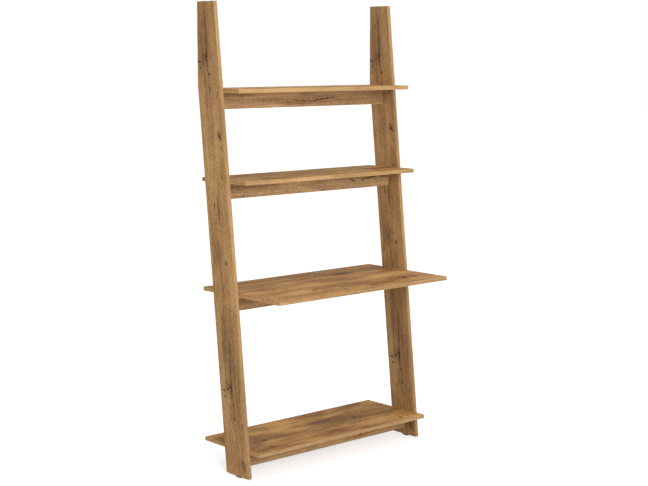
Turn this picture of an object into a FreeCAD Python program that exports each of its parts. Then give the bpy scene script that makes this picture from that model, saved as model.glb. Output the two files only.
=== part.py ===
import FreeCAD, Part

import math
import os

# A ladder shelf with a desk. Two leaning side boards stand on the floor and bear on a wall with
# their top rear corners cut upright. Four level boards run between them out to the wall, each on
# a rail on edge below it. Cam fittings and dowels hold it, and two angle brackets fix it to the wall.
# Frame: +X to the right, +Y towards the wall, +Z up, in millimetres. The origin is on the floor,
# at the middle of the width and half-way between the wall and the front edge of the deepest board.

# ---- driving dimensions ----
OVERALL_WIDTH = 950.0
OVERALL_HEIGHT = 1866.0
BOARD = 16.0                # faced chipboard
BAND = 0.8                  # edge band, included in the board's size
BAND_ROUND = 0.4            # rounding of a band's long outer edges

UPRIGHT_DEPTH = 140.0       # measured level
LEAN_DEG = 6.0
FOOT_SETBACK = 161.5        # wall to the rear corner of an upright at the bottom

LEVELS = {                  # height of the top face, and depth from the wall
    "bottom_shelf": (116.0, 350.0),
    "desk_top": (736.0, 475.0),
    "upper_shelf": (1177.0, 275.0),
    "top_shelf": (1529.0, 237.0),
}
RAIL_HEIGHT = 66.0

# ---- fittings ----
CAM_RADIUS = 7.4
CAM_DEPTH = 12.4
CAM_CLEARANCE = 0.1         # round the cam and behind it
CAM_REACH = 34.0            # end of the board to the cam's axis
CAM_CROSS_LENGTH = 9.0
CAM_CROSS_WIDTH = 1.6
CAM_CROSS_DEPTH = 2.5
CAM_EDGE_INSET = 25.0       # edge of an upright to a cam bolt
RAIL_CAM_DROP = 21.0        # top of a rail to its cam bolt

BOLT_THREAD_RADIUS = 2.5
BOLT_THREAD_LENGTH = 10.5
BOLT_SHANK_RADIUS = 3.0
BOLT_NECK_RADIUS = 2.0
BOLT_NECK_LENGTH = 4.0
BOLT_HEAD_RADIUS = 3.2
BOLT_HEAD_LENGTH = 3.5
BOLT_BORE_RADIUS = 3.5

DOWEL_RADIUS = 4.0
DOWEL_LENGTH = 30.0
DOWEL_IN_FACE = 10.5        # the part of it that sits in a board's face
DOWEL_CHAMFER = 0.8
RAIL_DOWEL_RISE = 19.0      # bottom of a rail to its end dowel
RAIL_DOWELS_PER_LEVEL = 3
RAIL_DOWEL_END_INSET = 150.0

HOLE_CLEARANCE = 0.05       # radial, round a dowel, thread, nail or screw
HOLE_END_CLEARANCE = 0.5    # past the end of one

# ---- feet ----
GLIDE_LENGTH = 34.0
GLIDE_SIDE_INSET = 1.0      # face of an upright to a glide's side
GLIDE_HEIGHT = 6.0
GLIDE_ROUND = 1.2
NAIL_SPACING = 18.0
NAIL_RADIUS = 1.0
NAIL_GRIP = 14.0            # length in the upright
NAIL_HEAD_RADIUS = 2.0
NAIL_HEAD_HEIGHT = 0.9
NAIL_HEAD_RECESS = 3.0      # depth of the glide's counterbore
NAIL_HEAD_CLEARANCE = 0.2

# ---- wall brackets ----
BRACKET_LEG = 30.0
BRACKET_WIDTH = 16.0
BRACKET_THICKNESS = 2.0
BRACKET_BEND = 1.5          # inner radius
BRACKET_CORNER = 3.0        # rounding of the legs' corners
BRACKET_END_INSET = 160.0   # outer face of an upright to a bracket's middle
BRACKET_WALL_HOLE_RADIUS = 2.5
BRACKET_WALL_HOLE_INSET = 12.0       # end of the leg to the hole
BRACKET_SCREW_INSET = 7.0            # end of the leg to the outer screw
BRACKET_SCREW_SPACING = 12.0
SCREW_RADIUS = 1.7
SCREW_GRIP = 10.0           # length in the shelf
SCREW_HEAD_RADIUS = 3.2
SCREW_HEAD_HEIGHT = 1.8
SCREW_HEAD_ROUND = 0.8
SCREW_CROSS_LENGTH = 3.4
SCREW_CROSS_WIDTH = 0.7
SCREW_CROSS_DEPTH = 1.2

# ---- worked out from the above ----
SLOPE = math.tan(math.radians(LEAN_DEG))
WALL_Y = max(depth for _, depth in LEVELS.values()) / 2
INNER_X = OVERALL_WIDTH / 2 - BOARD          # inner faces of the uprights
SIDES = {"left": -1, "right": 1}

X_AXIS = FreeCAD.Vector(1, 0, 0)
Y_AXIS = FreeCAD.Vector(0, 1, 0)
Z_AXIS = FreeCAD.Vector(0, 0, 1)


def front_y(z):
    """Front edge of an upright at height z."""
    return WALL_Y - FOOT_SETBACK - UPRIGHT_DEPTH + SLOPE * (z - GLIDE_HEIGHT)


def middle_y(z):
    """Centre line of an upright's board at height z."""
    return front_y(z) + UPRIGHT_DEPTH / 2


def rear_y(z):
    """Rear edge of an upright at height z, cut off at the wall."""
    return min(WALL_Y, front_y(z) + UPRIGHT_DEPTH)


def wall_cut_z():
    """Height at which the leaning rear edge meets the wall."""
    return GLIDE_HEIGHT + FOOT_SETBACK / SLOPE


# ---- shapes ----
def cylinder(radius, length, start, direction):
    return Part.makeCylinder(radius, length, FreeCAD.Vector(*start), direction)


def turned(profile, start, direction):
    """A turned piece. The profile is (radius, length) steps along direction from start."""
    steps, at = [], FreeCAD.Vector(*start)
    for radius, length in profile:
        steps.append(Part.makeCylinder(radius, length, at, direction))
        at = at + direction * length
    return steps[0].fuse(steps[1:]).removeSplitter()


def inset(points, distances):
    """Corners of a convex outline (anticlockwise) with each edge moved in by its own distance."""
    count = len(points)
    lines = []
    for i in range(count):
        (ax, ay), (bx, by) = points[i], points[(i + 1) % count]
        length = math.hypot(bx - ax, by - ay)
        ux, uy = (bx - ax) / length, (by - ay) / length
        lines.append((ax - uy * distances[i], ay + ux * distances[i], ux, uy))
    moved = []
    for i in range(count):
        px, py, ux, uy = lines[i - 1]
        qx, qy, vx, vy = lines[i]
        along = ((qx - px) * vy - (qy - py) * vx) / (ux * vy - uy * vx)
        moved.append((px + ux * along, py + uy * along))
    return moved


def slab(points, place, direction):
    """The outline, put in space by place(a, b), extruded by one board thickness."""
    corners = [FreeCAD.Vector(*place(a, b)) for a, b in points]
    face = Part.Face(Part.makePolygon(corners + corners[:1]))
    return face.extrude(direction * BOARD)


def rounded_band(strip, outer_a, outer_b):
    """The strip with its two long edges on the line from outer_a to outer_b rounded."""
    line = (outer_b - outer_a).normalize()
    long_edges = []
    for edge in strip.Edges:
        start, end = (vertex.Point for vertex in edge.Vertexes)
        along = (end - start).normalize()
        if abs(along.dot(line)) < 0.9999:
            continue
        away = (start - outer_a) - line * (start - outer_a).dot(line)
        if away.Length < 1e-6 or abs(away.Length - BOARD) < 1e-6:
            long_edges.append(edge)
    return strip.makeFillet(BAND_ROUND, long_edges)


def banded_board(outline, names, place, direction):
    """A board and its edge bands. names gives each outline edge's band, or None for a bare edge.
    Returns the core and a dict of band name to a list of strips, which meet in mitres."""
    inner = inset(outline, [BAND if name else 0.0 for name in names])
    core = slab(inner, place, direction)
    bands = {}
    for i, name in enumerate(names):
        if not name:
            continue
        after = (i + 1) % len(outline)
        strip = slab([outline[i], outline[after], inner[after], inner[i]], place, direction)
        ends = [FreeCAD.Vector(*place(*outline[k])) for k in (i, after)]
        bands.setdefault(name, []).append(rounded_band(strip, *ends))
    return core, bands


def drilled(shape, holes):
    """The shape with every hole that reaches it cut out."""
    near = [hole for hole in holes if shape.BoundBox.intersect(hole.BoundBox)]
    return shape.cut(near) if near else shape


# ---- boards ----
def upright(side):
    """Leaning side board: level at the top and bottom, upright where it bears on the wall."""
    bottom, top, cut = GLIDE_HEIGHT, OVERALL_HEIGHT, wall_cut_z()
    outline = [
        (front_y(bottom), bottom),
        (rear_y(bottom), bottom),
        (WALL_Y, cut),
        (WALL_Y, top),
        (front_y(top), top),
    ]
    names = ["end_bands", "rear_bands", "rear_bands", "end_bands", "front_band"]
    outer_x = SIDES[side] * OVERALL_WIDTH / 2
    x = min(outer_x, outer_x - SIDES[side] * BOARD)
    return banded_board(outline, names, lambda y, z: (x, y, z), X_AXIS)


def level_board(top_z, depth):
    """Level board between the uprights, from the wall forwards."""
    outline = [
        (-INNER_X, WALL_Y - depth),
        (INNER_X, WALL_Y - depth),
        (INNER_X, WALL_Y),
        (-INNER_X, WALL_Y),
    ]
    names = ["front_band", "end_bands", "rear_band", "end_bands"]
    return banded_board(outline, names, lambda x, y: (x, y, top_z - BOARD), Z_AXIS)


def rail_middle_y(top_z):
    """Middle of the thickness of the rail under a level board."""
    return middle_y(top_z - BOARD - RAIL_HEIGHT / 2)


def rail(top_z):
    """Board on edge under a level board, on the uprights' centre line."""
    rail_top = top_z - BOARD
    rear_face = rail_middle_y(top_z) + BOARD / 2
    outline = [
        (-INNER_X, rail_top - RAIL_HEIGHT),
        (INNER_X, rail_top - RAIL_HEIGHT),
        (INNER_X, rail_top),
        (-INNER_X, rail_top),
    ]
    names = ["edge_bands", None, "edge_bands", None]
    return banded_board(outline, names, lambda x, z: (x, rear_face, z), -Y_AXIS)


# ---- cam fittings: a bolt in the upright, held by a cam in the board's end ----
def cam_fitting(side, y, z, cam_face, out):
    """Bolt, cam and their holes. cam_face is the face the cam opens on, as a coordinate along
    out, the direction from the bolt's axis to that face."""
    inwards = -X_AXIS * SIDES[side]
    face_x = SIDES[side] * INNER_X
    cam_x = face_x + inwards.x * CAM_REACH
    head_end = CAM_REACH + BOLT_HEAD_LENGTH / 2
    shank = head_end - BOLT_HEAD_LENGTH - BOLT_NECK_LENGTH
    bolt = turned(
        [
            (BOLT_THREAD_RADIUS, BOLT_THREAD_LENGTH),
            (BOLT_SHANK_RADIUS, shank),
            (BOLT_NECK_RADIUS, BOLT_NECK_LENGTH),
            (BOLT_HEAD_RADIUS, BOLT_HEAD_LENGTH),
        ],
        (face_x - inwards.x * BOLT_THREAD_LENGTH, y, z),
        inwards,
    )
    channel = cylinder(BOLT_BORE_RADIUS, head_end + CAM_CLEARANCE, (face_x, y, z), inwards)
    thread_length = BOLT_THREAD_LENGTH + HOLE_END_CLEARANCE
    thread_hole = cylinder(
        BOLT_THREAD_RADIUS + HOLE_CLEARANCE, thread_length, (face_x, y, z), -inwards
    )

    face = FreeCAD.Vector(cam_x, y, z)
    face = face + out * (cam_face - face.dot(out))
    cam = Part.makeCylinder(CAM_RADIUS, CAM_DEPTH, face, -out).cut(channel)
    cam = cross_recessed(cam, face, out, CAM_CROSS_LENGTH, CAM_CROSS_WIDTH, CAM_CROSS_DEPTH)
    cam_hole = Part.makeCylinder(
        CAM_RADIUS + CAM_CLEARANCE, CAM_DEPTH + CAM_CLEARANCE, face, -out
    )
    return {"bolt": bolt, "cam": cam, "holes": [channel, thread_hole, cam_hole]}


def cross_recessed(piece, face, out, length, width, depth):
    """The piece with a cross recess for a screwdriver in its face."""
    turned_to_out = FreeCAD.Placement(face, FreeCAD.Rotation(Z_AXIS, out))
    for turn in (0, 90):
        bar = Part.makeBox(length, width, depth, FreeCAD.Vector(-length / 2, -width / 2, -depth))
        bar.rotate(FreeCAD.Vector(), Z_AXIS, turn)
        bar.Placement = turned_to_out.multiply(bar.Placement)
        piece = piece.cut(bar)
    return piece


def level_cams(top_z):
    """Cam fittings of a level board and of the rail under it."""
    board_z = top_z - BOARD / 2
    rail_z = top_z - BOARD - RAIL_CAM_DROP
    rail_y = rail_middle_y(top_z)
    made = []
    for side in SIDES:
        for y in (front_y(board_z) + CAM_EDGE_INSET, rear_y(board_z) - CAM_EDGE_INSET):
            made.append(cam_fitting(side, y, board_z, -(top_z - BOARD), -Z_AXIS))
        made.append(cam_fitting(side, rail_y, rail_z, rail_y + BOARD / 2, Y_AXIS))
    return made


# ---- dowels ----
def dowel(face_point, direction):
    """A dowel across a joint at face_point, going by direction into the board's end or edge."""
    start = FreeCAD.Vector(*face_point) - direction * DOWEL_IN_FACE
    body = Part.makeCylinder(DOWEL_RADIUS, DOWEL_LENGTH, start, direction)
    rims = [edge for edge in body.Edges if isinstance(edge.Curve, Part.Circle)]
    hole_start = start - direction * HOLE_END_CLEARANCE
    hole_length = DOWEL_LENGTH + 2 * HOLE_END_CLEARANCE
    hole_radius = DOWEL_RADIUS + HOLE_CLEARANCE
    hole = Part.makeCylinder(hole_radius, hole_length, hole_start, direction)
    return {"dowel": body.makeChamfer(DOWEL_CHAMFER, rims), "holes": [hole]}


def level_dowels(top_z):
    """Dowels of a level board and its rail: into the uprights, and between board and rail."""
    board_z = top_z - BOARD / 2
    rail_top = top_z - BOARD
    rail_y = rail_middle_y(top_z)
    made = []
    for side, sign in SIDES.items():
        face_x, inwards = sign * INNER_X, -X_AXIS * sign
        made.append(dowel((face_x, middle_y(board_z), board_z), inwards))
        rail_dowel_z = rail_top - RAIL_HEIGHT + RAIL_DOWEL_RISE
        made.append(dowel((face_x, rail_y, rail_dowel_z), inwards))
    span = 2 * (INNER_X - RAIL_DOWEL_END_INSET)
    for i in range(RAIL_DOWELS_PER_LEVEL):
        x = -span / 2 + i * span / (RAIL_DOWELS_PER_LEVEL - 1)
        made.append(dowel((x, rail_y, rail_top), -Z_AXIS))
    return made


# ---- feet ----
def foot(side):
    """Long plastic glide nailed under the middle of an upright."""
    x = SIDES[side] * (OVERALL_WIDTH - BOARD) / 2
    y = middle_y(GLIDE_HEIGHT)
    width = BOARD - 2 * GLIDE_SIDE_INSET
    radius, straight = width / 2, GLIDE_LENGTH - width
    corner = FreeCAD.Vector(x - radius, y - straight / 2, 0)
    glide = Part.makeBox(width, straight, GLIDE_HEIGHT, corner)
    for end in (-1, 1):
        glide = glide.fuse(cylinder(radius, GLIDE_HEIGHT, (x, y + end * straight / 2, 0), Z_AXIS))
    glide = glide.removeSplitter()
    sole = [edge for edge in glide.Edges if edge.BoundBox.ZMax < 1e-6]
    glide = glide.makeFillet(GLIDE_ROUND, sole)

    nails, holes = [], []
    for end in (-1, 1):
        nail_y = y + end * NAIL_SPACING / 2
        head_z = NAIL_HEAD_RECESS - NAIL_HEAD_HEIGHT
        shank = GLIDE_HEIGHT + NAIL_GRIP - NAIL_HEAD_RECESS
        profile = [(NAIL_HEAD_RADIUS, NAIL_HEAD_HEIGHT), (NAIL_RADIUS, shank)]
        nails.append(turned(profile, (x, nail_y, head_z), Z_AXIS))
        hole_length = GLIDE_HEIGHT + NAIL_GRIP + HOLE_END_CLEARANCE
        holes.append(
            cylinder(NAIL_RADIUS + HOLE_CLEARANCE, hole_length, (x, nail_y, 0), Z_AXIS)
        )
        recess_radius = NAIL_HEAD_RADIUS + NAIL_HEAD_CLEARANCE
        recess = cylinder(recess_radius, NAIL_HEAD_RECESS, (x, nail_y, 0), Z_AXIS)
        glide = glide.cut(recess)
    return {"glide": drilled(glide, holes), "nails": nails, "holes": holes}


# ---- wall brackets ----
def rounded_bracket(angle, outer_corner, inner_corner):
    """The angle bracket with its bend and the corners of its legs rounded."""
    bends = [(outer_corner, BRACKET_BEND + BRACKET_THICKNESS), (inner_corner, BRACKET_BEND)]
    for corner, radius in bends:
        bend = []
        for edge in angle.Edges:
            start = edge.Vertexes[0].Point
            beside = math.hypot(start.y - corner.y, start.z - corner.z) < 1e-6
            if beside and abs(edge.Length - BRACKET_WIDTH) < 1e-6:
                bend.append(edge)
        angle = angle.makeFillet(radius, bend)
    short = [edge for edge in angle.Edges if abs(edge.Length - BRACKET_THICKNESS) < 1e-6]
    return angle.makeFillet(BRACKET_CORNER, short)


def wall_bracket(side):
    """Angle bracket under the top shelf, with its outer face at the wall."""
    x = SIDES[side] * (OVERALL_WIDTH / 2 - BRACKET_END_INSET)
    under = LEVELS["top_shelf"][0] - BOARD
    leg, thick = BRACKET_LEG, BRACKET_THICKNESS
    outline = [(0, 0), (-leg, 0), (-leg, -thick), (-thick, -thick), (-thick, -leg), (0, -leg)]
    corners = [
        FreeCAD.Vector(x - BRACKET_WIDTH / 2, WALL_Y + a, under + b) for a, b in outline
    ]
    angle = Part.Face(Part.makePolygon(corners + corners[:1])).extrude(X_AXIS * BRACKET_WIDTH)
    angle = rounded_bracket(angle, corners[0], corners[3])
    wall_hole_z = under - leg + BRACKET_WALL_HOLE_INSET
    angle = angle.cut(
        cylinder(BRACKET_WALL_HOLE_RADIUS, thick, (x, WALL_Y, wall_hole_z), -Y_AXIS)
    )
    outer_screw = leg - BRACKET_SCREW_INSET
    screws, holes = [], []
    for from_wall in (outer_screw - BRACKET_SCREW_SPACING, outer_screw):
        start = (x, WALL_Y - from_wall, under - thick - SCREW_HEAD_HEIGHT)
        profile = [(SCREW_HEAD_RADIUS, SCREW_HEAD_HEIGHT), (SCREW_RADIUS, thick + SCREW_GRIP)]
        screw = turned(profile, start, Z_AXIS)
        crown = [edge for edge in screw.Edges if edge.BoundBox.ZMax < start[2] + 1e-6]
        screw = screw.makeFillet(SCREW_HEAD_ROUND, crown)
        cross = (SCREW_CROSS_LENGTH, SCREW_CROSS_WIDTH, SCREW_CROSS_DEPTH)
        screws.append(cross_recessed(screw, FreeCAD.Vector(*start), -Z_AXIS, *cross))
        hole_length = thick + SCREW_GRIP + HOLE_END_CLEARANCE
        hole_start = (x, WALL_Y - from_wall, under - thick)
        holes.append(cylinder(SCREW_RADIUS + HOLE_CLEARANCE, hole_length, hole_start, Z_AXIS))
    return {"bracket": drilled(angle, holes), "screws": screws, "holes": holes}


# ---- the whole object ----
def assembly():
    """Every node's name and its solids."""
    boards, holes, nodes = {}, [], {}
    for side in SIDES:
        boards[f"{side}_upright"] = upright(side)
    for name, (top_z, depth) in LEVELS.items():
        stem = name.rsplit("_", 1)[0]
        boards[name] = level_board(top_z, depth)
        boards[f"{stem}_rail"] = rail(top_z)
        cams, dowels = level_cams(top_z), level_dowels(top_z)
        nodes[f"{stem}_cam_bolts"] = [cam["bolt"] for cam in cams]
        nodes[f"{stem}_cam_locks"] = [cam["cam"] for cam in cams]
        nodes[f"{stem}_dowels"] = [pin["dowel"] for pin in dowels]
        for made in cams + dowels:
            holes += made["holes"]

    nodes["foot_nails"], nodes["bracket_screws"] = [], []
    for side in SIDES:
        feet, bracket = foot(side), wall_bracket(side)
        nodes[f"{side}_foot_glide"] = [feet["glide"]]
        nodes[f"{side}_wall_bracket"] = [bracket["bracket"]]
        nodes["foot_nails"] += feet["nails"]
        nodes["bracket_screws"] += bracket["screws"]
        holes += feet["holes"] + bracket["holes"]

    for name, (core, bands) in boards.items():
        nodes[name] = [drilled(core, holes)]
        for band, strips in bands.items():
            nodes[f"{name}_{band}"] = [drilled(strip, holes) for strip in strips]
    return nodes


def main():
    os.makedirs("parts", exist_ok=True)
    for name, pieces in assembly().items():
        solids = [solid for piece in pieces for solid in piece.Solids]
        for solid in solids:
            if not solid.isValid() or solid.Volume <= 0:
                raise ValueError(f"{name} has a bad solid")
        shape = solids[0] if len(solids) == 1 else Part.makeCompound(solids)
        shape.exportStep(f"parts/{name}.step")
        print(f"{name}: {len(solids)}")


main()
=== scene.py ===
import math

import bpy
from mathutils import Euler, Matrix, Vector


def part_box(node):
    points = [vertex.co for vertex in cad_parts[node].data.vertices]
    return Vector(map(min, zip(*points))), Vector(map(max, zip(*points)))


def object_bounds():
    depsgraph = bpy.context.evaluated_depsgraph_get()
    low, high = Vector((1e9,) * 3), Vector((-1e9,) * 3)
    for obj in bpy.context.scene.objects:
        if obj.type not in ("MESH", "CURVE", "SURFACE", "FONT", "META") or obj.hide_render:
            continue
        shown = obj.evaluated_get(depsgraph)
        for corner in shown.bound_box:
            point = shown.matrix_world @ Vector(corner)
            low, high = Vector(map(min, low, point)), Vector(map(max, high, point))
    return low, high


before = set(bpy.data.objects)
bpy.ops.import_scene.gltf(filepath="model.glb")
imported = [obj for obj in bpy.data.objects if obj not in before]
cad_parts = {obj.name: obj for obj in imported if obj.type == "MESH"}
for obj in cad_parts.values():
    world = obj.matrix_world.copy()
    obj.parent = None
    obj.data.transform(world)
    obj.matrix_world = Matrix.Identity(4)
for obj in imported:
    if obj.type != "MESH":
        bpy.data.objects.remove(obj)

cad_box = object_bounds()

# ---- sizes read from the frame ----
LEAN = math.radians(6.0)
ALONG = Vector((0.0, math.sin(LEAN), math.cos(LEAN)))      # up an upright's board
ACROSS = Vector((0.0, math.cos(LEAN), -math.sin(LEAN)))    # from its front edge to its rear edge
X, Y, Z = Vector((1, 0, 0)), Vector((0, 1, 0)), Vector((0, 0, 1))
LEVELS = ("bottom", "desk", "upper", "top")
BOARD_NODES = {"bottom": "bottom_shelf", "desk": "desk_top", "upper": "upper_shelf", "top": "top_shelf"}


def srgb(r, g, b):
    """Linear colour from 8-bit sRGB."""
    def linear(c):
        c /= 255
        return c / 12.92 if c <= 0.04045 else ((c + 0.055) / 1.055) ** 2.4
    return (linear(r), linear(g), linear(b), 1.0)


# ---- colours of the decor, and the painted light tints laid over it ----
DARK_STREAK = srgb(126, 89, 56)
MIDDLE = srgb(176, 134, 88)
LIGHT_STREAK = srgb(205, 165, 110)
BROWN = srgb(122, 86, 51)
SMUDGE = srgb(106, 81, 60)
CRACK = srgb(34, 24, 18)
PALE = srgb(208, 172, 122)
PORE = srgb(92, 66, 40)
# painted light, multiplied into the print by facing: front bands cooler as painted front light, rails greyer and bluer
# as painted cool front light in the shade under the shelves, shelves warmer as painted top light
FRONT_PAINTED_LIGHT = (0.88, 0.92, 1.02, 1.0)
RAIL_PAINTED_LIGHT = (1.0, 1.07, 1.26, 1.0)
TOP_PAINTED_LIGHT = (1.11, 1.04, 0.86, 1.0)
CHIP_LIGHT = srgb(206, 180, 138)
CHIP_DARK = srgb(140, 108, 72)


class Nodes:
    """Builds one node tree. Each method adds a node and returns its output socket."""

    def __init__(self, tree):
        self.tree = tree

    def add(self, kind, **settings):
        node = self.tree.nodes.new(kind)
        for name, value in settings.items():
            setattr(node, name, value)
        return node

    def put(self, socket, value):
        if isinstance(value, bpy.types.NodeSocket):
            self.tree.links.new(value, socket)
        else:
            socket.default_value = value

    def math(self, operation, *values, clamp=False):
        node = self.add("ShaderNodeMath", operation=operation, use_clamp=clamp)
        for socket, value in zip(node.inputs, values):
            self.put(socket, value)
        return node.outputs[0]

    def vector(self, operation, a, b=(0.0, 0.0, 0.0)):
        node = self.add("ShaderNodeVectorMath", operation=operation)
        self.put(node.inputs[0], a)
        self.put(node.inputs[1], b)
        number = operation in ("DOT_PRODUCT", "LENGTH")
        return node.outputs["Value" if number else "Vector"]

    def xyz(self, x, y, z):
        node = self.add("ShaderNodeCombineXYZ")
        for socket, value in zip(node.inputs, (x, y, z)):
            self.put(socket, value)
        return node.outputs[0]

    def noise(self, vector, detail=2.0, roughness=0.5, distortion=0.0):
        node = self.add("ShaderNodeTexNoise")
        self.put(node.inputs["Vector"], vector)
        node.inputs["Scale"].default_value = 1.0
        node.inputs["Detail"].default_value = detail
        node.inputs["Roughness"].default_value = roughness
        node.inputs["Distortion"].default_value = distortion
        return node.outputs["Fac"]

    def stretched(self, u, v, w, per_u, per_v, **settings):
        """Noise with per_u and per_v lumps a metre along and across the grain."""
        return self.noise(
            self.xyz(self.math("MULTIPLY", u, per_u), self.math("MULTIPLY", v, per_v), w), **settings
        )

    def step(self, value, low, high):
        """0 at low, 1 at high, eased between. low may be above high."""
        node = self.add("ShaderNodeMapRange", interpolation_type="SMOOTHSTEP")
        flip = low > high
        self.put(node.inputs["Value"], value)
        node.inputs["From Min"].default_value = min(low, high)
        node.inputs["From Max"].default_value = max(low, high)
        node.inputs["To Min"].default_value = 1.0 if flip else 0.0
        node.inputs["To Max"].default_value = 0.0 if flip else 1.0
        return node.outputs["Result"]

    def mix(self, factor, a, b, blend="MIX"):
        node = self.add("ShaderNodeMix", data_type="RGBA", blend_type=blend)
        self.put(node.inputs["Factor"], factor)
        self.put(node.inputs[6], a)
        self.put(node.inputs[7], b)
        return node.outputs[2]

    def ramp(self, factor, stops):
        node = self.add("ShaderNodeValToRGB")
        elements = node.color_ramp.elements
        while len(elements) < len(stops):
            elements.new(0.5)
        for element, (place, colour) in zip(elements, stops):
            element.position = place
            element.color = colour
        self.put(node.inputs["Fac"], factor)
        return node.outputs["Color"]


def new_material(name):
    material = bpy.data.materials.new(name)
    material.use_nodes = True
    material.node_tree.nodes.clear()
    nodes = Nodes(material.node_tree)
    shader = nodes.add("ShaderNodeBsdfPrincipled")
    output = nodes.add("ShaderNodeOutputMaterial")
    material.node_tree.links.new(shader.outputs[0], output.inputs["Surface"])
    return material, nodes, shader


def bump(nodes, shader, height, distance):
    node = nodes.add("ShaderNodeBump")
    node.inputs["Distance"].default_value = distance
    nodes.put(node.inputs["Height"], height)
    nodes.put(shader.inputs["Normal"], node.outputs["Normal"])


def place_on_board(nodes, along, across, through, origin):
    """Place on a board: along its grain, across it, and through its thickness, in metres."""
    position = nodes.add("ShaderNodeTexCoord").outputs["Object"]
    position = nodes.vector("SUBTRACT", position, origin)
    return [nodes.vector("DOT_PRODUCT", position, axis) for axis in (along, across, through)]


# ---- the oak decor ----
def crack_mask(nodes, u, v, wander, ragged, crack):
    """Mask of a crack and of the brown halo round it. crack is (u, v) at both ends and its width."""
    u0, v0, u1, v1, width = crack
    length = math.hypot(u1 - u0, v1 - v0)
    ux, uy = (u1 - u0) / length, (v1 - v0) / length
    place = nodes.xyz(nodes.math("SUBTRACT", u, u0), nodes.math("SUBTRACT", v, v0), 0.0)
    part = nodes.vector("DOT_PRODUCT", place, (ux / length, uy / length, 0.0))
    off = nodes.vector("DOT_PRODUCT", place, (-uy, ux, 0.0))
    off = nodes.math("ABSOLUTE", nodes.math("ADD", off, wander))
    taper = nodes.math("MULTIPLY", part, nodes.math("SUBTRACT", 1.0, part))
    taper = nodes.math("MULTIPLY", taper, 4.0)
    inside = nodes.math("GREATER_THAN", taper, 0.0)
    reach = nodes.math("MULTIPLY", nodes.math("POWER", nodes.math("MAXIMUM", taper, 0.0), 0.5), width)
    reach = nodes.math("MULTIPLY", reach, ragged)
    ratio = nodes.math("DIVIDE", off, nodes.math("MAXIMUM", reach, 1e-5))
    core = nodes.math("MULTIPLY", nodes.step(ratio, 1.0, 0.5), inside)
    halo = nodes.math("MULTIPLY", nodes.step(ratio, 3.0, 0.6), inside)
    return core, halo


def knot_mask(nodes, u, v, wander, knot):
    """Closeness to a knot's heart: 1 at the heart, 0 outside. knot is its place and half sizes."""
    u0, v0, half_u, half_v = knot
    place = nodes.xyz(nodes.math("SUBTRACT", u, u0), nodes.math("SUBTRACT", v, v0), 0.0)
    place = nodes.vector("MULTIPLY", place, (1 / half_u, 1 / half_v, 0.0))
    far = nodes.vector("LENGTH", place)
    return nodes.math("ADD", far, wander), place


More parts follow.
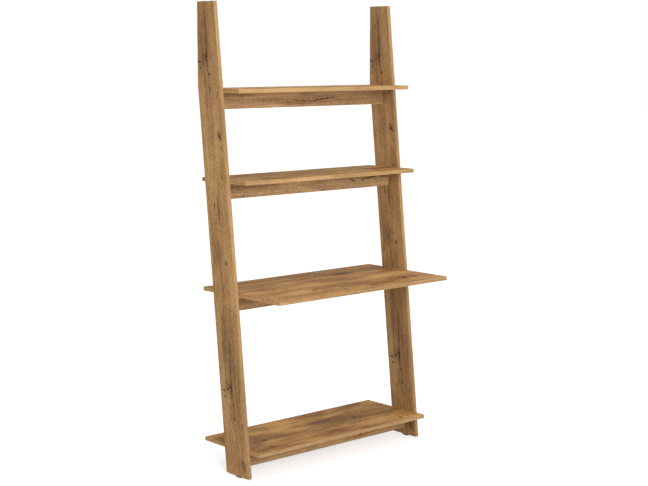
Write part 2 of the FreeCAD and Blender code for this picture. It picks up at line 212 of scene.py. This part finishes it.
def decor(nodes, u, v, w, seed, period=0.0, bold=1.0, patches=0.12, clouds=0.4, tint=None,
          cracks=(), knots=(), streaks=(), pales=()):
    """The printed oak, multiplied by a painted light tint where one is given. Returns its colour, and a height for its
    pores and cracks.
    """
    # the features repeat along the board, and the grain parts round each knot
    plain_u = u
    if period:
        u = nodes.math("WRAP", u, period, 0.0)
    flow = v
    hearts = []
    wobble = nodes.stretched(u, v, seed + 31.0, 60.0, 110.0, detail=3.0)
    wobble = nodes.math("SUBTRACT", wobble, 0.5)
    for knot in knots:
        far, place = knot_mask(nodes, u, v, nodes.math("MULTIPLY", wobble, 1.6), knot)
        near = nodes.step(far, 3.2, 0.3)
        side = nodes.vector("DOT_PRODUCT", place, (0.0, knot[3], 0.0))
        flow = nodes.math("SUBTRACT", flow, nodes.math("MULTIPLY", nodes.math("MULTIPLY", side, near), 0.55))
        hearts.append(far)
    print_u, u = u, plain_u

    patch = nodes.stretched(u, v, seed + 29.0, 4.0, 11.0, detail=3.0, roughness=0.55, distortion=0.4)
    broad = nodes.stretched(u, flow, seed, 2.6, 19.0, detail=3.0, distortion=0.7)
    streak = nodes.stretched(u, flow, seed + 3.0, 3.4, 95.0, detail=4.0, distortion=0.5)
    mottle = nodes.stretched(u, flow, seed + 13.0, 24.0, 150.0, detail=4.0, roughness=0.65, distortion=0.4)
    fine = nodes.stretched(u, flow, seed + 7.0, 55.0, 560.0, detail=3.0, roughness=0.6)
    grit = nodes.stretched(u, flow, seed + 17.0, 150.0, 950.0, detail=2.0, roughness=0.7)
    cloud = nodes.stretched(u, v, seed + 11.0, 7.0, 19.0, detail=5.0, roughness=0.62)

    # growth lines, which make the long arches of the figure
    bend = nodes.stretched(u, flow, seed + 19.0, 2.1, 6.0, detail=2.0)
    rings = nodes.math("ADD", nodes.math("MULTIPLY", flow, 95.0), nodes.math("MULTIPLY", bend, 9.0))
    rings = nodes.math("SINE", nodes.math("MULTIPLY", rings, math.tau))
    rings = nodes.math("MULTIPLY", rings, nodes.step(cloud, 0.35, 0.7))

    # the parts of the tone, each about 0.5, and how much each counts
    tone = nodes.math("MULTIPLY", rings, 0.012)
    for part, weight in (
        (patch, patches), (broad, 0.26), (streak, 0.19), (mottle, 0.10), (fine, 0.30), (grit, 0.50),
    ):
        part = nodes.math("MULTIPLY", nodes.math("SUBTRACT", part, 0.5), weight * bold)
        tone = nodes.math("ADD", tone, part)
    tone = nodes.math("ADD", tone, 0.5)
    colour = nodes.ramp(tone, [(0.40, DARK_STREAK), (0.50, MIDDLE), (0.60, LIGHT_STREAK)])

    # brown clouds, and the long grey-brown streaks of the print
    shade = nodes.math("MULTIPLY", nodes.step(cloud, 0.50, 0.74), clouds)
    colour = nodes.mix(shade, colour, BROWN)
    for *streak_at, strength in streaks:
        far, _ = knot_mask(nodes, print_u, v, nodes.math("MULTIPLY", wobble, 0.9), streak_at)
        shade = nodes.math("MULTIPLY", nodes.step(far, 1.3, 0.1), strength)
        colour = nodes.mix(shade, colour, SMUDGE)

    for pale in pales:
        far, _ = knot_mask(nodes, print_u, v, nodes.math("MULTIPLY", wobble, 0.9), pale)
        shade = nodes.math("MULTIPLY", nodes.step(far, 1.3, 0.1), 0.5)
        colour = nodes.mix(shade, colour, PALE)

    # open pores: short dark dashes
    dash = nodes.stretched(u, flow, seed + 23.0, 55.0, 1900.0, detail=1.0)
    pores = nodes.step(dash, 0.60, 0.70)
    colour = nodes.mix(nodes.math("MULTIPLY", pores, 0.5), colour, PORE)

    height = nodes.math("MULTIPLY", pores, -0.35)
    for far in hearts:
        ring = nodes.math("SINE", nodes.math("MULTIPLY", far, 9.0))
        halo = nodes.math("MULTIPLY", nodes.step(far, 2.1, 0.7), 0.45)
        halo = nodes.math("ADD", halo, nodes.math("MULTIPLY", nodes.math("MULTIPLY", ring, halo), 0.35))
        colour = nodes.mix(halo, colour, SMUDGE)
        heart = nodes.math("MULTIPLY", nodes.step(far, 1.1, 0.4), 0.72)
        colour = nodes.mix(heart, colour, CRACK)
        height = nodes.math("SUBTRACT", height, nodes.math("MULTIPLY", heart, 0.5))
    wander = nodes.stretched(u, v, seed + 41.0, 70.0, 40.0, detail=4.0, roughness=0.6)
    wander = nodes.math("MULTIPLY", nodes.math("SUBTRACT", wander, 0.5), 0.012)
    ragged = nodes.stretched(u, v, seed + 43.0, 160.0, 60.0, detail=2.0)
    ragged = nodes.math("ADD", nodes.math("MULTIPLY", nodes.step(ragged, 0.36, 0.60), 1.1), 0.45)
    for crack in cracks:
        core, halo = crack_mask(nodes, print_u, v, wander, ragged, crack)
        colour = nodes.mix(nodes.math("MULTIPLY", halo, 0.25), colour, SMUDGE)
        colour = nodes.mix(nodes.math("MULTIPLY", core, 0.95), colour, CRACK)
        height = nodes.math("SUBTRACT", height, core)
    # painted light and shade: the print's colour is multiplied by the tint of how light falls on this board
    if tint:
        colour = nodes.mix(1.0, colour, tint, blend="MULTIPLY")
    return colour, height


def chipboard(nodes, colour):
    """The board's inside, which shows in its drilled holes, in place of the decor's colour."""
    position = nodes.add("ShaderNodeTexCoord").outputs["Object"]
    flakes = nodes.add("ShaderNodeTexVoronoi")
    flakes.inputs["Scale"].default_value = 420.0
    nodes.put(flakes.inputs["Vector"], position)
    grey = nodes.add("ShaderNodeSeparateColor")
    nodes.put(grey.inputs[0], flakes.outputs["Color"])
    return nodes.ramp(grey.outputs[0], [(0.1, CHIP_DARK), (0.9, CHIP_LIGHT)])


def board_material(name, axes, origin, seed, other_face=(0.0, 0.0), half=0.0, lighten_print_and_light=0.0,
                   **features):
    """Oak decor laid on a board. axes are along the grain, across it and through the board.
    other_face is how far along, and about which width, the far face's print is moved and turned."""
    material, nodes, shader = new_material(name)
    u, v, w = place_on_board(nodes, *axes, origin)
    back = nodes.math("GREATER_THAN", w, 0.0)
    if half:
        shift, width = other_face
        u = nodes.math("ADD", u, nodes.math("MULTIPLY", back, shift))
        turned = nodes.math("SUBTRACT", width, nodes.math("MULTIPLY", v, 2.0))
        v = nodes.math("ADD", v, nodes.math("MULTIPLY", turned, back))
    colour, height = decor(nodes, u, v, w, seed, **features)
    # lighter print of the edge bands; on the shelves' edge bands it also holds painted light, lighter the higher the
    # shelf
    if lighten_print_and_light:
        colour = nodes.mix(lighten_print_and_light, colour, LIGHT_STREAK)
    if half:
        inner = nodes.math("LESS_THAN", nodes.math("ABSOLUTE", w), half - 0.0003)
        colour = nodes.mix(inner, colour, chipboard(nodes, colour))
    nodes.put(shader.inputs["Base Color"], colour)
    rough = nodes.stretched(u, v, seed + 5.0, 30.0, 160.0, detail=2.0)
    rough = nodes.math("ADD", nodes.math("MULTIPLY", rough, 0.16), 0.56)
    nodes.put(shader.inputs["Roughness"], rough)
    shader.inputs["Specular IOR Level"].default_value = 0.08
    bump(nodes, shader, height, 0.0003)
    return material


def centre(node):
    low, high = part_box(node)
    return Vector([(a + b) / 2 for a, b in zip(low, high)])


def give(material, *names):
    for name in names:
        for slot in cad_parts[name].material_slots:
            slot.material = material


def make_boards():
    # both uprights carry the same print, which repeats up the board
    for side in ("left", "right"):
        low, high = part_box(f"{side}_upright")
        front_foot = Vector(((low[0] + high[0]) / 2, low[1], low[2]))
        half = (high[0] - low[0]) / 2
        give(
            board_material(
                f"{side}_upright_oak", (ALONG, ACROSS, X), front_foot, 2.7, period=1.30,
                # painted shade: the whole right upright is darkened for the shade its inner face gets from the left
                # upright and the shelves
                tint=(0.90, 0.92, 0.96, 1.0) if side == "right" else None,
                other_face=(0.62, 0.139), half=half,
                cracks=[
                    (0.560, 0.057, 0.444, 0.064, 0.0014), (0.460, 0.064, 0.386, 0.066, 0.0022),
                    (0.396, 0.066, 0.331, 0.068, 0.0036), (0.337, 0.069, 0.296, 0.067, 0.0014),
                    (0.299, 0.067, 0.282, 0.056, 0.0032), (0.358, 0.076, 0.352, 0.098, 0.0022),
                    (0.347, 0.106, 0.349, 0.128, 0.0022), (0.366, 0.080, 0.376, 0.096, 0.0018),
                    (0.370, 0.070, 0.356, 0.080, 0.0024), (0.330, 0.110, 0.316, 0.112, 0.0016),
                    (0.243, 0.063, 0.225, 0.061, 0.0026), (0.223, 0.017, 0.189, 0.020, 0.0016),
                    (0.067, 0.037, 0.030, 0.012, 0.0021), (0.051, 0.031, 0.025, 0.004, 0.0014),
                    (0.070, 0.033, 0.054, 0.018, 0.0014), (1.198, 0.034, 1.183, 0.022, 0.0022),
                    (1.125, 0.070, 1.000, 0.063, 0.0012), (0.864, 0.047, 0.846, 0.035, 0.0022),
                    (0.852, 0.046, 0.842, 0.044, 0.0018), (0.501, 0.081, 0.487, 0.080, 0.0018),
                    (0.775, 0.066, 0.735, 0.071, 0.0012), (0.640, 0.094, 0.622, 0.091, 0.0014),
                ],
                knots=[(1.085, 0.090, 0.014, 0.0028), (0.321, 0.114, 0.005, 0.0030), (0.004, 0.019, 0.004, 0.0030)],
                streaks=[
                    (0.46, 0.066, 0.24, 0.090, 0.22), (0.42, 0.066, 0.12, 0.014, 0.3), (1.07, 0.066, 0.07, 0.008, 0.46), (0.885, 0.078, 0.05, 0.026, 0.46),
                    (0.36, 0.090, 0.04, 0.026, 0.4), (0.05, 0.025, 0.03, 0.020, 0.46), (0.79, 0.050, 0.06, 0.014, 0.46),
                ],
            ),
            f"{side}_upright",
        )
        give(
            # the front band's print takes the cool painted front light
            board_material(f"{side}_front_band_oak", (ALONG, X, ACROSS), front_foot, 5.1, lighten_print_and_light=0.2, tint=FRONT_PAINTED_LIGHT),
            f"{side}_upright_front_band",
        )
        give(
            board_material(f"{side}_rear_band_oak", (ALONG, X, ACROSS), front_foot, 8.3, lighten_print_and_light=0.2),
            f"{side}_upright_rear_bands",
        )
        give(
            board_material(f"{side}_end_band_oak", (Y, X, Z), front_foot, 9.9, lighten_print_and_light=0.2),
            f"{side}_upright_end_bands",
        )

    shelf_features = {
        "desk": dict(
            knots=[
                (0.303, -0.139, 0.009, 0.014), (0.360, -0.148, 0.008, 0.012), (-0.066, -0.180, 0.005, 0.010),
            ],
            cracks=[
                (0.070, -0.168, 0.092, -0.205, 0.0050), (0.094, -0.172, 0.084, -0.190, 0.0040),
                (-0.205, -0.138, -0.158, -0.112, 0.0050), (-0.160, -0.112, -0.100, -0.122, 0.0045),
                (0.28, -0.120, 0.34, -0.132, 0.0040), (0.150, 0.122, 0.260, 0.112, 0.0060),
            ],
            streaks=[
                (-0.34, 0.10, 0.17, 0.07, 0.46), (0.20, 0.12, 0.14, 0.04, 0.46), (0.08, -0.03, 0.13, 0.03, 0.46),
                (0.38, 0.12, 0.12, 0.08, 0.46), (-0.10, 0.19, 0.20, 0.05, 0.46), (0.27, -0.225, 0.14, 0.02, 0.46),
            ],
            pales=[(-0.16, 0.08, 0.05, 0.03), (0.30, -0.03, 0.10, 0.04), (-0.27, -0.14, 0.12, 0.04)],
        ),
        "bottom": dict(
            knots=[(0.203, 0.060, 0.009, 0.013), (0.233, 0.050, 0.006, 0.010), (0.353, -0.075, 0.007, 0.008)],
            cracks=[
                (-0.010, 0.097, 0.090, 0.088, 0.0040), (0.10, -0.012, 0.24, -0.008, 0.0030),
                (-0.330, 0.034, -0.310, 0.022, 0.0040), (-0.355, -0.045, -0.345, -0.065, 0.0040),
            ],
            streaks=[
                (-0.36, 0.06, 0.14, 0.05, 0.46), (0.38, 0.05, 0.13, 0.06, 0.46), (0.10, 0.03, 0.15, 0.035, 0.46),
                (0.10, 0.09, 0.18, 0.018, 0.46), (-0.21, -0.02, 0.12, 0.022, 0.46), (-0.43, -0.09, 0.06, 0.03, 0.46),
            ],
            pales=[
                (-0.25, -0.150, 0.07, 0.022), (-0.08, 0.07, 0.08, 0.03), (0.26, -0.04, 0.10, 0.02),
                (-0.30, 0.00, 0.07, 0.02),
            ],
        ),
        "upper": dict(
            knots=[(0.31, 0.06, 0.012, 0.005), (-0.20, 0.12, 0.008, 0.004)],
            cracks=[(-0.36, 0.03, -0.25, 0.035, 0.0018)],
            streaks=[(0.33, 0.10, 0.10, 0.03, 0.46), (-0.1, 0.05, 0.2, 0.02, 0.46)],
        ),
        "top": dict(
            knots=[(-0.28, 0.11, 0.013, 0.005), (0.17, 0.16, 0.009, 0.004)],
            cracks=[(0.05, 0.06, 0.16, 0.065, 0.0018)],
            streaks=[(-0.2, 0.1, 0.2, 0.02, 0.46), (0.3, 0.06, 0.1, 0.03, 0.46)],
        ),
    }
    rail_features = {
        "top": dict(
            knots=[(-0.084, -0.012, 0.004, 0.0022), (-0.068, -0.024, 0.003, 0.0022)],
            cracks=[(0.048, -0.010, 0.190, 0.006, 0.0024), (-0.06, -0.005, 0.05, -0.011, 0.0013)],
            streaks=[(-0.34, 0.025, 0.10, 0.006, 0.46), (0.02, 0.02, 0.06, 0.012, 0.46),
                     (-0.15, 0.0, 0.10, 0.010, 0.46), (0.42, 0.0, 0.06, 0.03, 0.4)],
        ),
        "upper": dict(
            knots=[(0.078, -0.027, 0.005, 0.0030), (-0.059, -0.029, 0.004, 0.0024),
                   (-0.347, -0.025, 0.005, 0.0034)],
            cracks=[(0.225, 0.008, 0.262, -0.002, 0.0024), (0.29, 0.000, 0.38, 0.014, 0.0030),
                    (0.41, 0.010, 0.45, 0.008, 0.0024)],
            streaks=[(0.35, 0.014, 0.12, 0.018, 0.5), (0.18, 0.018, 0.10, 0.008, 0.46), (-0.25, 0.01, 0.12, 0.01, 0.46)],
        ),
        "desk": dict(
            knots=[(-0.21, -0.015, 0.009, 0.004)],
            cracks=[(0.1, 0.01, 0.22, 0.004, 0.0018)],
            streaks=[(-0.38, 0.0, 0.08, 0.014, 0.46), (0.05, 0.01, 0.2, 0.01, 0.46)],
        ),
        "bottom": dict(
            knots=[(0.19, -0.012, 0.009, 0.004)],
            cracks=[(-0.3, 0.008, -0.2, 0.012, 0.0018)],
            streaks=[(-0.2, 0.0, 0.15, 0.014, 0.46), (0.3, 0.01, 0.1, 0.01, 0.46)],
        ),
    }
    for i, level in enumerate(LEVELS):
        node = BOARD_NODES[level]
        low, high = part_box(node)
        middle = Vector((0.0, 0.0, (low[2] + high[2]) / 2))
        # the visible top is the far face of the board here, so the underside's print is the turned one
        give(
            board_material(
                f"{node}_oak", (X, Y, -Z), middle, 12.0 + 4.3 * i, bold=1.35, patches=0.38, clouds=0.42,
                # painted light: the shelves are warmed as their lit tops are, the upper shelf a little more
                tint=(1.04, 0.98, 0.78, 1.0) if level == "upper" else TOP_PAINTED_LIGHT,
                other_face=(0.4, 0.05), half=(high[2] - low[2]) / 2, **shelf_features[level],
            ),
            node,
        )
        edge = centre(f"{node}_front_band")
        give(
            # painted light: the edge bands are lightened more the higher the shelf, for light from above, over the
            # bands' own lighter print; they also take the cool painted front light
            board_material(f"{node}_edge_oak", (X, Z, Y), edge, 31.0 + 2.9 * i, lighten_print_and_light=0.1 + 0.1 * i,
                           tint=FRONT_PAINTED_LIGHT),
            f"{node}_front_band", f"{node}_rear_band",
        )
        give(
            board_material(f"{node}_end_oak", (Y, Z, X), edge, 47.0 + 2.3 * i, lighten_print_and_light=0.1),
            f"{node}_end_bands",
        )
        rail = f"{level}_rail"
        rail_middle = centre(rail)
        low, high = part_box(rail)
        # the rails take a painted light tint: greyer and bluer, as cool front light in the shade under the shelves
        give(
            board_material(
                f"{rail}_oak", (X, Z, Y), rail_middle, 61.0 + 5.7 * i, tint=RAIL_PAINTED_LIGHT,
                other_face=(0.35, 0.0), half=(high[1] - low[1]) / 2, **rail_features[level],
            ),
            rail,
        )
        give(
            board_material(f"{rail}_edge_oak", (X, Y, Z), rail_middle, 83.0 + 3.1 * i, lighten_print_and_light=0.2),
            f"{rail}_edge_bands",
        )


# ---- fittings ----
def make_fittings():
    beech, nodes, shader = new_material("beech")
    position = nodes.add("ShaderNodeTexCoord").outputs["Object"]
    flecks = nodes.noise(nodes.vector("MULTIPLY", position, (600.0, 900.0, 600.0)), detail=3.0)
    nodes.put(shader.inputs["Base Color"], nodes.ramp(
        flecks, [(0.35, srgb(196, 156, 112)), (0.65, srgb(226, 192, 150))]))
    shader.inputs["Roughness"].default_value = 0.65
    # flutes: a dowel lies along X or Z, so its normal's other part and Y give the angle round it
    normal = nodes.add("ShaderNodeNewGeometry").outputs["Normal"]
    parts = nodes.add("ShaderNodeSeparateXYZ")
    nodes.put(parts.inputs[0], normal)
    angle = nodes.math("ARCTAN2", parts.outputs[1], nodes.math("ADD", parts.outputs[0], parts.outputs[2]))
    flutes = nodes.math("SINE", nodes.math("MULTIPLY", angle, 20.0))
    bump(nodes, shader, flutes, 0.0002)
    give(beech, *[f"{level}_dowels" for level in LEVELS])

    zinc, nodes, shader = new_material("cast_zinc")
    position = nodes.add("ShaderNodeTexCoord").outputs["Object"]
    cast = nodes.noise(nodes.vector("MULTIPLY", position, (700.0, 700.0, 700.0)), detail=4.0)
    shader.inputs["Metallic"].default_value = 1.0
    nodes.put(shader.inputs["Base Color"], nodes.ramp(
        cast, [(0.3, srgb(150, 150, 148)), (0.7, srgb(196, 196, 193))]))
    nodes.put(shader.inputs["Roughness"], nodes.math("ADD", nodes.math("MULTIPLY", cast, 0.3), 0.32))
    bump(nodes, shader, cast, 0.0001)
    give(zinc, *[f"{level}_cam_locks" for level in LEVELS])

    steel, nodes, shader = new_material("plated_steel")
    position = nodes.add("ShaderNodeTexCoord").outputs["Object"]
    turned = nodes.noise(nodes.vector("MULTIPLY", position, (2600.0, 300.0, 300.0)), detail=2.0)
    shader.inputs["Metallic"].default_value = 1.0
    nodes.put(shader.inputs["Base Color"], nodes.ramp(
        turned, [(0.3, srgb(178, 178, 172)), (0.7, srgb(214, 213, 206))]))
    nodes.put(shader.inputs["Roughness"], nodes.math("ADD", nodes.math("MULTIPLY", turned, 0.2), 0.2))
    parts = nodes.add("ShaderNodeSeparateXYZ")
    nodes.put(parts.inputs[0], position)
    in_upright = nodes.math("GREATER_THAN", nodes.math("ABSOLUTE", parts.outputs[0]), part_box("desk_top")[1][0])
    thread = nodes.math("SINE", nodes.math("MULTIPLY", parts.outputs[0], math.tau / 0.0016))
    bump(nodes, shader, nodes.math("MULTIPLY", thread, in_upright), 0.0004)
    give(steel, *[f"{level}_cam_bolts" for level in LEVELS])

    screw, nodes, shader = new_material("screw_steel")
    position = nodes.add("ShaderNodeTexCoord").outputs["Object"]
    worn = nodes.noise(nodes.vector("MULTIPLY", position, (900.0, 900.0, 900.0)), detail=3.0)
    shader.inputs["Metallic"].default_value = 1.0
    nodes.put(shader.inputs["Base Color"], nodes.ramp(
        worn, [(0.3, srgb(168, 166, 158)), (0.7, srgb(208, 206, 198))]))
    nodes.put(shader.inputs["Roughness"], nodes.math("ADD", nodes.math("MULTIPLY", worn, 0.25), 0.2))
    bump(nodes, shader, worn, 0.00005)
    give(screw, "bracket_screws", "foot_nails")

    plate, nodes, shader = new_material("plated_bracket")
    position = nodes.add("ShaderNodeTexCoord").outputs["Object"]
    rolled = nodes.noise(nodes.vector("MULTIPLY", position, (60.0, 900.0, 900.0)), detail=3.0)
    spangle = nodes.noise(nodes.vector("MULTIPLY", position, (220.0, 220.0, 220.0)), detail=2.0)
    mixed = nodes.math("ADD", nodes.math("MULTIPLY", rolled, 0.5), nodes.math("MULTIPLY", spangle, 0.5))
    shader.inputs["Metallic"].default_value = 1.0
    nodes.put(shader.inputs["Base Color"], nodes.ramp(
        mixed, [(0.3, srgb(176, 174, 166)), (0.7, srgb(210, 208, 200))]))
    nodes.put(shader.inputs["Roughness"], nodes.math("ADD", nodes.math("MULTIPLY", mixed, 0.3), 0.22))
    bump(nodes, shader, rolled, 0.00005)
    give(plate, "left_wall_bracket", "right_wall_bracket")

    plastic, nodes, shader = new_material("black_plastic")
    position = nodes.add("ShaderNodeTexCoord").outputs["Object"]
    grain = nodes.noise(nodes.vector("MULTIPLY", position, (1500.0, 1500.0, 1500.0)), detail=2.0)
    scuff = nodes.noise(nodes.vector("MULTIPLY", position, (120.0, 500.0, 120.0)), detail=4.0)
    nodes.put(shader.inputs["Base Color"], nodes.ramp(
        scuff, [(0.35, srgb(22, 22, 23)), (0.75, srgb(46, 45, 44))]))
    nodes.put(shader.inputs["Roughness"], nodes.math("ADD", nodes.math("MULTIPLY", scuff, 0.3), 0.38))
    bump(nodes, shader, grain, 0.0001)
    give(plastic, "left_foot_glide", "right_foot_glide")


# ---- studio ----
def make_floor():
    bpy.ops.mesh.primitive_plane_add(size=60.0, location=(0.0, 0.0, cad_box[0][2] - 0.0005))
    floor = bpy.context.object
    floor.name = "floor"
    material, nodes, shader = new_material("pale_floor")
    shader.inputs["Base Color"].default_value = (0.8, 0.8, 0.8, 1.0)
    shader.inputs["Roughness"].default_value = 0.9
    output = next(n for n in material.node_tree.nodes if n.type == "OUTPUT_MATERIAL")
    rays = nodes.add("ShaderNodeLightPath").outputs
    seen = nodes.math("MAXIMUM", rays["Is Camera Ray"], rays["Is Glossy Ray"])
    seen = nodes.math("MAXIMUM", seen, rays["Is Transmission Ray"])
    glow = nodes.add("ShaderNodeEmission")
    nodes.put(glow.inputs["Strength"], nodes.math("MULTIPLY", seen, 0.58))
    both = nodes.add("ShaderNodeAddShader")
    nodes.put(both.inputs[0], shader.outputs[0])
    nodes.put(both.inputs[1], glow.outputs[0])
    nodes.put(output.inputs["Surface"], both.outputs[0])
    floor.data.materials.append(material)


def make_world():
    world = bpy.data.worlds.new("studio")
    bpy.context.scene.world = world
    world.use_nodes = True
    world.node_tree.nodes.clear()
    nodes = Nodes(world.node_tree)
    background = nodes.add("ShaderNodeBackground")
    rays = nodes.add("ShaderNodeLightPath").outputs
    seen = nodes.math("MAXIMUM", rays["Is Camera Ray"], rays["Is Transmission Ray"])
    seen = nodes.math("MAXIMUM", seen, rays["Is Glossy Ray"])
    background.inputs["Color"].default_value = (1.0, 1.0, 1.0, 1.0)
    nodes.put(background.inputs["Strength"], nodes.math(
        "ADD", nodes.math("MULTIPLY", seen, 1.0 - AMBIENT), AMBIENT))
    output = nodes.add("ShaderNodeOutputWorld")
    nodes.put(output.inputs["Surface"], background.outputs[0])


AMBIENT = 0.62


def soft_light(name, place, aim, width, power):
    light = bpy.data.lights.new(name, "AREA")
    light.shape = "SQUARE"
    light.size = width
    light.energy = power
    lamp = bpy.data.objects.new(name, light)
    lamp.location = place
    lamp.rotation_euler = (Vector(aim) - Vector(place)).to_track_quat("-Z", "Y").to_euler()
    bpy.context.scene.collection.objects.link(lamp)


def make_camera():
    data = bpy.data.cameras.new("camera")
    data.sensor_width = 36.0
    data.lens = 77.78
    camera = bpy.data.objects.new("camera", data)
    camera.location = (-3.7994, -4.2263, 1.6650)
    camera.rotation_euler = Euler((math.radians(90.0 - 7.718), 0.0, math.radians(-41.793)))
    bpy.context.scene.collection.objects.link(camera)
    bpy.context.scene.camera = camera


make_boards()
make_fittings()
make_floor()
make_world()
soft_light("key", (-2.0, -4.9, 2.4), (0.0, 0.0, 1.1), 2.6, 190.0)
soft_light("top", (-0.6, -1.2, 4.4), (0.0, 0.0, 0.9), 2.4, 20.0)
make_camera()
bpy.context.scene.view_settings.view_transform = "Standard"
